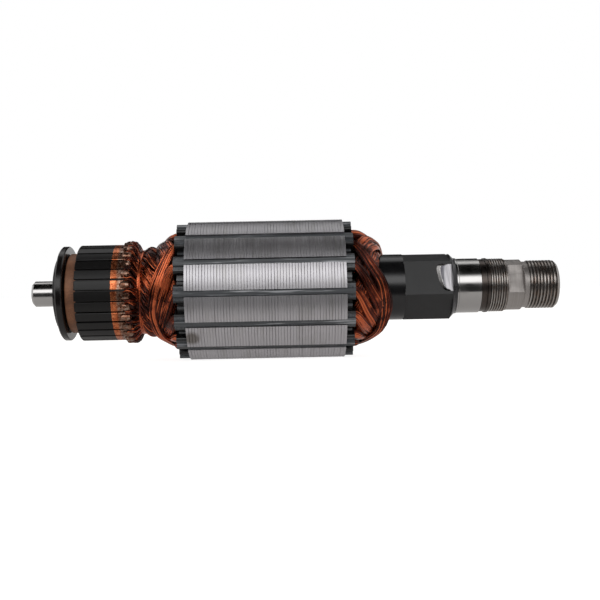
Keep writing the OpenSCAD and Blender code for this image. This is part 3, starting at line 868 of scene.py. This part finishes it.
class BuildCore(bpy.types.Operator):
    """Makes the stack of toothed sheets with a groove between each two"""

    bl_idname = "armature.core"
    bl_label = "Laminated core"

    # The slot in millimetres: half its mouth, the radius where the mouth opens, the radii and places of its
    # upper corners and its round bottom, and the angle in degrees at which its sides meet them
    half_mouth = 0.95
    neck_r = 20.2
    corner_r = 0.9
    corner_at = (19.3, 1.9)
    bottom_r = 1.15
    bottom_at = 11.6
    lean = 102.06

    def execute(self, context):
        sizes = context.scene.armature_core
        r, phi, outer = self.outline()
        count = len(r)
        rows = self.rows(sizes, r, outer)
        points = [on_axis(x, radius, phi) for x, radius in rows]
        faces = tube_faces(len(rows), count, ends="open")

        # Both end faces, each a fan of one piece a slot step between the outline and the bore
        per, rim_count = count // SLOTS, 2 * SLOTS
        base = len(rows) * count
        inner = SLOT_ANGLE + np.arange(rim_count) * SLOT_STEP / 2
        for x in (CORE_IN, CORE_OUT):
            points.append(on_axis(x, CORE_BORE_R, inner))
        for rim, first in ((base, 0), (base + rim_count, base - count)):
            for k in range(SLOTS):
                # Point 6 of each slot's run, counted from 0, is its bottom
                run = [first + (k * per + 6 + j) % count for j in range(per + 1)]
                hub = [rim + (2 * k + j) % rim_count for j in (2, 1, 0)]
                faces.append(tuple(run + hub))
        faces += tube_faces(2, rim_count, base, ends="open")
        piece = mesh_piece("lamination_sheets", np.concatenate(points), faces, [sheet_steel(sizes)])
        clean(piece)
        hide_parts("lamination_stack")
        return {"FINISHED"}

    def outline(self):
        """Radius and angle of the points round a sheet, and 1 for those on its outer edge or 0."""
        edge = math.degrees(math.asin(self.half_mouth / CORE_R))

        def arc(x, y, r, angles):
            turns = [math.radians(a) for a in angles]
            return [(x + r * math.cos(a), y + r * math.sin(a)) for a in turns]

        # One slot from its lower side to its upper side, as radius and width, then the arc to the next slot
        side = arc(*self.corner_at, self.corner_r, (0, 50, self.lean))
        foot = arc(self.bottom_at, 0, self.bottom_r, (self.lean, 180, 360 - self.lean))
        slot = [(self.neck_r, -self.half_mouth)] + [(x, -y) for x, y in side] + [(x, -y) for x, y in foot]
        slot += side[::-1] + [(self.neck_r, self.half_mouth)]
        outline = []
        for k in range(SLOTS):
            centre = SLOT_ANGLE + k * SLOT_STEP
            outline.append((CORE_R, centre - edge, 1))
            outline += [(math.hypot(x, y), centre + math.degrees(math.atan2(y, x)), 0) for x, y in slot]
            tooth = np.linspace(centre + edge, centre + SLOT_STEP - edge, 9)[:-1]
            outline += [(CORE_R, a, 1) for a in tooth]
        return np.array(outline).T

    def rows(self, sizes, r, outer):
        """Stations and radii along the stack: each sheet a little below full size, with grooves between."""
        rng = random.Random(11)
        pitch = (CORE_OUT - CORE_IN) / sizes.sheets
        broken_edge = 0.05
        rows = [(CORE_IN, r - outer * broken_edge), (CORE_IN + broken_edge, r)]
        for s in range(sizes.sheets):
            x0, x1 = CORE_IN + s * pitch, CORE_IN + (s + 1) * pitch
            proud = rng.uniform(-0.015, 0.0)
            half = 0.11 + rng.uniform(-0.02, 0.03)
            cut = sizes.groove / MM * rng.uniform(0.7, 1.2)
            if s:
                rows.append((x0 + half, r + outer * proud))
            if s < sizes.sheets - 1:
                rows.append((x1 - half, r + outer * proud))
                rows.append((x1, r - outer * cut))
        return rows + [(CORE_OUT - broken_edge, r), (CORE_OUT, r - outer * broken_edge)]


class BuildInsulation(bpy.types.Operator):
    """Finishes the end plates, slot liners and wedges"""

    bl_idname = "armature.insulation"
    bl_label = "Slot insulation"

    def execute(self, context):
        sizes = context.scene.armature_core
        # The end plates and liners get painted shade, near black, in the gaps between the slots' ends
        plate = moulded_plastic(
            "glass_filled_nylon_moulded", sizes.plastic, "66696d", 0.36, 0.5, painted_shade_tone="0d0d0e"
        )
        dress(["commutator_end_insulator", "drive_end_insulator"], plate)
        dress(["slot_wedges"], drawn_wedge(sizes))
        return {"FINISHED"}


class BuildCommutator(bpy.types.Operator):
    """Finishes the bars, the moulded core, the brown ring and the flange"""

    bl_idname = "armature.commutator"
    bl_label = "Commutator"

    def execute(self, context):
        sizes = context.scene.armature_commutator
        copper = bar_copper(sizes)
        for i in range(1, BARS + 1):
            self.bar(i, copper)
        core = moulded_plastic("phenolic_moulded_black", sizes.moulding, "2a2523", 0.4, 0.5)
        flange = moulded_plastic("phenolic_moulded_flange", sizes.moulding, "1d1918", 0.2, 0.5, gloss=0.32)
        ring = moulded_plastic("phenolic_paper_brown", "6b4630", sizes.ring, 0.55, 0.25)
        dress(["commutator_core"], core)
        dress(["commutator_flange"], flange)
        dress(["commutator_end_ring"], ring)
        return {"FINISHED"}

    def bar(self, i, copper):
        """One bar with broken edges and a hook that the fusing pressed into a rounded lump."""
        phi = BAR_GAP_ANGLE + (i - 0.5) * BAR_STEP
        half = BAR_STEP / 2 - math.degrees(math.asin(0.25 / BAR_R))
        # The section along the axis, as radius and station, with its dovetail
        side = [
            (BAR_R - 0.15, BAR_IN), (BAR_R, BAR_IN + 0.15), (BAR_R, HOOK_OUT - 0.1), (BAR_R - 0.1, HOOK_OUT),
            (12.6, HOOK_OUT), (11.2, HOOK_OUT - 1.6), (9.0, HOOK_OUT - 0.7), (8.2, HOOK_OUT - 2.3),
            (8.2, BAR_IN + 3.2), (9.0, BAR_IN + 1.6), (11.2, BAR_IN + 2.5), (12.6, BAR_IN + 0.9),
        ]  # fmt: skip
        turns = (-half, -half + 0.45, 0.0, half - 0.45, half)
        points = []
        for turn in turns:
            drop = 0.08 if abs(turn) == half else 0.0
            points += [on_axis(x, r - drop * (r > 14), phi + turn) for r, x in side]
        faces = tube_faces(len(turns), len(side))
        lump, lump_faces = self.hook(i, phi, len(points))
        piece = mesh_piece(f"fused_bar_{i:02d}", points + lump, faces + lump_faces, [copper])
        clean(piece)
        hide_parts(f"commutator_bar_{i:02d}")

    def hook(self, i, phi, base):
        """Lump of a bar's hook, as rings of points from its tip to its bend, each a little rough."""
        rng = np.random.default_rng(300 + i)
        around, length, rough = 12, 9, 0.035
        x0, x1 = HOOK_OUT - 2.95 + rng.uniform(-0.2, 0.25), HOOK_OUT + 0.32
        lean = rng.uniform(-0.5, 0.5)
        theta = np.linspace(0, 2 * math.pi, around, endpoint=False)
        c, s = np.cos(theta), np.sin(theta)
        # A rounded square, between a circle and a box
        square = 2.8
        flat = (np.abs(c) ** square + np.abs(s) ** square) ** (-1 / square)
        low, mean_r = 14.3, 15.5
        points = []
        for u in np.linspace(0, 1, length):
            inside = 0 < u < 1
            swell = (1 - abs(2 * u - 1) ** 3.2) ** 0.5 if inside else 0.0
            half_w = 0.45 + 0.6 * swell
            top = 15.25 + 0.8 * swell - 0.12 * math.sin(math.pi * u) * rng.uniform(0, 1.4)
            r = (low + top) / 2 + s * flat * (top - low) / 2 + rng.normal(0, rough, around)
            w = c * flat * half_w + rng.normal(0, rough, around)
            bow = 0.0 if inside else 0.12
            x = x0 + (x1 - x0) * u + bow * (1 if u == 0 else -1) * (1 - s) + rng.normal(0, 0.03, around)
            points += list(on_axis(x, r, phi + lean * u + np.degrees(w / mean_r)))
        return points, tube_faces(length, around, base)


class BuildCoils(bpy.types.Operator):
    """Winds the fourteen coils as bundles of wire, laid over each other in the order they were wound"""

    bl_idname = "armature.coils"
    bl_label = "Coils"

    # Coils are wound in opposite pairs, numbered from 0 for the first pair to 6 for the last
    last_order = 6
    # End turns of the last coils wound, up to the middle: share of the way round, distance from the core,
    # radius, half width and half thickness in millimetres
    drive_turn = [
        (0.0, -3.0, OUTER_LEG_R, 1.5, 1.2),
        (0.0, 0.0, OUTER_LEG_R, 1.5, 1.2),
        (0.0, 2.6, 17.35, 1.5, 1.2),
        (0.05, 4.9, 16.8, 1.6, 1.15),
        (0.15, 7.6, 15.6, 1.9, 1.0),
        (0.28, 10.8, 14.3, 2.1, 0.9),
        (0.42, 12.1, 12.7, 2.6, 0.8),
        (0.5, 12.3, 12.4, 2.8, 0.75),
    ]
    commutator_turn = [
        (0.0, -3.0, OUTER_LEG_R, 1.5, 1.2),
        (0.0, 0.0, OUTER_LEG_R, 1.5, 1.2),
        (0.0, 3.2, 17.35, 1.5, 1.2),
        (0.05, 5.0, 16.5, 1.6, 1.15),
        (0.15, 7.0, 15.2, 1.9, 1.0),
        (0.27, 8.9, 14.7, 2.1, 0.95),
        (0.42, 10.4, 13.8, 2.3, 0.9),
        (0.5, 10.8, 13.5, 2.4, 0.85),
    ]

    def execute(self, context):
        sizes = context.scene.armature_winding
        wire = enamelled_copper(sizes, "copper_wire_enamelled")
        for i in range(1, SLOTS + 1):
            order = self.last_order - (3 - i) % (SLOTS // 2)
            top = SLOT_ANGLE + (i - 1) * SLOT_STEP
            legs = (
                OUTER_LEG_R if order > 0 else INNER_LEG_R,
                OUTER_LEG_R if order == self.last_order else INNER_LEG_R,
            )
            rng = np.random.default_rng(sizes.seed * 100 + i)
            bundle = WireMesh()
            self.end_turn(bundle, rng, sizes, (CORE_OUT, 1, 0.14), self.drive_turn, order, top, legs)
            self.end_turn(bundle, rng, sizes, (CORE_IN, -1, 0.3), self.commutator_turn, order, top, legs)
            self.straight_legs(bundle, top, legs)
            bundle.piece(f"wound_coil_{i:02d}", wire, f"coil_{i:02d}")
        return {"FINISHED"}

    def end_turn(self, bundle, rng, sizes, end, turn, order, top, legs):
        """One end turn from the upper leg, at angle top, to the lower leg."""
        face, away, sink_step = end
        # A coil wound earlier lies nearer the core and the axis, and leaves the slot as straight as the last
        peak, first_peak, bend_from, foot, straight = turn[-1][1], 5.5, 2.0, 3.0, 3.3
        last_share = order / self.last_order
        reach = (first_peak + (peak - first_peak) * last_share - bend_from) / (peak - bend_from)
        sink = (self.last_order - order) * sink_step

        def control(row, leg):
            share, u, r, half_w, half_h = row
            away_from_leg = min(1.0, share / 0.15)
            radius = r + (leg - OUTER_LEG_R) * (1 - away_from_leg) - sink * math.sin(math.pi * share)
            return u if u <= straight else foot + (u - foot) * reach, radius, half_w, half_h

        rising = [(*control(row, legs[0]), row[0]) for row in turn]
        falling = [(*control(row, legs[1]), 1 - row[0]) for row in turn[-2::-1]]
        u, r, half_w, half_h, share = smooth_path(rising + falling, 44).T
        centre = on_axis(face + away * u, r, top - COIL_SPAN * SLOT_STEP * share)
        # The bundle's flat side turns away from the core as it leans over
        full_tilt, tilt_length = 0.85, 9.0
        tilt = np.clip((u - foot) / tilt_length, 0, 1) * full_tilt
        hint = from_axis(centre) + tilt[:, None] * np.array([away, 0, 0])
        outward, side = sides_of(centre, hint)

        radius = sizes.wire / MM / 2
        twist = rng.uniform(-0.25, 0.25)
        samples = np.linspace(0, 1, len(u))
        for k in range(sizes.strands):
            base = 2 * math.pi * (k + rng.uniform(-0.2, 0.2)) / sizes.strands
            drift = sum(
                rng.normal(0, 0.06 / w) * np.sin(math.pi * w * samples + rng.uniform(0, 6.28))
                for w in range(1, 5)
            )
            angle = base + drift + twist * np.sin(math.pi * samples)
            # A flattened round section: wires keep close to the bundle's skin
            c, s = np.cos(angle), np.sin(angle)
            flat = (np.abs(c) ** 3 + np.abs(s) ** 3) ** (-1 / 3)
            depth = 1 - abs(rng.normal(0, 0.05)) - 0.05 * np.sin(samples * math.pi * rng.uniform(1, 4))
            offset = side * (s * flat * (half_w - radius) * depth)[:, None]
            offset = offset + outward * (c * flat * (half_h - radius) * depth)[:, None]
            # Painted shade: wires on a bundle's flanks and inner side are darker and those on its outer side
            # lighter, and coils wound first, which lie under later ones, are darker
            tone = rng.uniform(-0.12, 0.42) + 0.22 * max(0.0, math.cos(base)) + 0.1 * (last_share - 0.5)
            bundle.wire(centre + offset, radius * rng.uniform(0.94, 1.04), tone, hint)
        # A packed heart, painted dark as shade, keeps light from passing between the outer wires
        bundle.heart(centre, outward, side, half_h * 0.6, half_w * 0.72)

    def straight_legs(self, bundle, top, legs):
        """The two straight sides inside their slots."""
        x = np.array([CORE_IN - 1, (CORE_IN + CORE_OUT) / 2, CORE_OUT + 1])
        for phi, r in zip((top, top - COIL_SPAN * SLOT_STEP), legs):
            centre = on_axis(x, r, phi)
            outward = from_axis(centre)
            side = np.cross(np.array([[1.0, 0, 0]] * 3), outward)
            bundle.heart(centre, outward, side, np.full(3, 1.0), np.full(3, 1.3))


class BuildLeads(bpy.types.Operator):
    """Lays the wires from the hooks over the neck, and the turns that bind them"""

    bl_idname = "armature.leads"
    bl_label = "Leads and binding"

    # Wires below the outer ones, as one turned body painted dark as shade: distance from the hooks and radius
    bed = [
        (0.1, 8.5), (0.1, 14.2), (0.9, 14.0), (1.6, 12.7), (2.3, 11.9),
        (3.4, 12.2), (5.0, 12.9), (9.0, 13.2), (15.5, 13.2), (15.5, 8.5),
    ]  # fmt: skip
    wires_a_side = 5
    neck_turns = 5

    def execute(self, context):
        sizes = context.scene.armature_winding
        wire = enamelled_copper(sizes, "copper_lead_enamelled")
        rng = np.random.default_rng(sizes.seed)
        radius = sizes.wire / MM / 2
        leads = WireMesh()
        for i in range(BARS):
            hook_angle = BAR_GAP_ANGLE + (i + 0.5) * BAR_STEP
            for way in (-1, 1):
                for k in range(self.wires_a_side):
                    x, r, turn = self.lead(rng, way, k)
                    path = on_axis(HOOK_OUT + x, r, hook_angle + turn)
                    leads.wire(path, radius * 0.9, rng.uniform(-0.1, 0.6))
        around = np.arange(0, 360, 5)
        leads.skin(np.stack([on_axis(HOOK_OUT + x, r, around) for x, r in self.bed]), -0.3, "joined")
        leads.piece("lead_wires", wire, "coil_leads")

        band = WireMesh(6)
        phi = np.linspace(0, 360, 121)
        for k in range(self.neck_turns):
            wave = 0.16 * np.sin(np.radians(phi * 2 + 70 * k)) + 0.1 * np.sin(np.radians(phi * 5 + 40 * k))
            x = HOOK_OUT + 1.9 + 0.34 * k + wave
            r = 12.95 - 0.05 * abs(k - 2) + 0.08 * np.sin(np.radians(phi * 3 + 50 * k))
            band.wire(on_axis(x, r, phi + 30 * k), radius, rng.uniform(0.3, 0.7))
        band.piece("neck_turns", wire, "binding_cord")
        return {"FINISHED"}

    def lead(self, rng, way, k):
        """Wire k on one side of a hook: distance from the hooks, radius, and angle from the hook."""
        lean = rng.uniform(-34, -12)
        spread = rng.uniform(-1.0, 1.0)
        dip = rng.uniform(-0.3, 0.3)
        rows = [
            (-1.5, 15.35, way * 1.0),
            (-1.5 + 0.1 * k, 15.5 - 0.15 * k, way * 4.6),
            (-0.6 + 0.1 * k, 15.7 - 0.2 * k, way * (5.9 - 0.5 * k)),
            (0.4, 15.6 - 0.28 * k, way * 5.0 + 0.5 * spread),
            (1.1, 14.6 - 0.2 * k + dip, way * 4.0 + 0.08 * lean + spread),
            (1.8, 13.2 + 0.4 * dip, way * 3.5 + 0.2 * lean + 2 * spread),
            (2.5, 12.6 + 0.3 * dip, way * 3.0 + 0.4 * lean + 3 * spread),
            (3.4, 13.1 + 0.4 * dip, way * 2.6 + 0.65 * lean + 4 * spread),
            (4.6, 13.7 + dip, way * 2.0 + 1.0 * lean + 5 * spread),
            (6.0, 13.6 + dip, way * 1.5 + 1.4 * lean + 6 * spread),
            (8.0, 13.0, way * 1.5 + 1.8 * lean + 6 * spread),
        ]
        return smooth_path(rows, 30).T


class ArmaturePanel(bpy.types.Panel):
    """Lists the pieces of the armature"""

    bl_idname = "VIEW3D_PT_armature"
    bl_label = "Motor armature"
    bl_space_type = "VIEW_3D"
    bl_region_type = "UI"
    bl_category = "Armature"

    def draw(self, context):
        for operator in OPERATORS:
            self.layout.operator(operator.bl_idname)
        for group in GROUPS:
            settings = getattr(context.scene, group)
            box = self.layout.box()
            for name in settings.__annotations__:
                box.prop(settings, name)


GROUPS = {
    "armature_shaft": ShaftSizes,
    "armature_core": CoreSizes,
    "armature_commutator": CommutatorSizes,
    "armature_winding": WindingSizes,
    "armature_stage": StageSizes,
}
OPERATORS = [
    BuildStage,
    BuildShaft,
    BuildSleeve,
    BuildCore,
    BuildInsulation,
    BuildCommutator,
    BuildCoils,
    BuildLeads,
]


def register():
    for name, group in GROUPS.items():
        bpy.utils.register_class(group)
        setattr(bpy.types.Scene, name, bpy.props.PointerProperty(type=group))
    for made in [*OPERATORS, ArmaturePanel]:
        bpy.utils.register_class(made)


def unregister():
    for made in reversed([*OPERATORS, ArmaturePanel]):
        bpy.utils.unregister_class(made)
    for name, group in reversed(GROUPS.items()):
        delattr(bpy.types.Scene, name)
        bpy.utils.unregister_class(group)


def main():
    register()
    for operator in OPERATORS:
        family, name = operator.bl_idname.split(".")
        getattr(getattr(bpy.ops, family), name)()


if __name__ == "__main__":
    main()
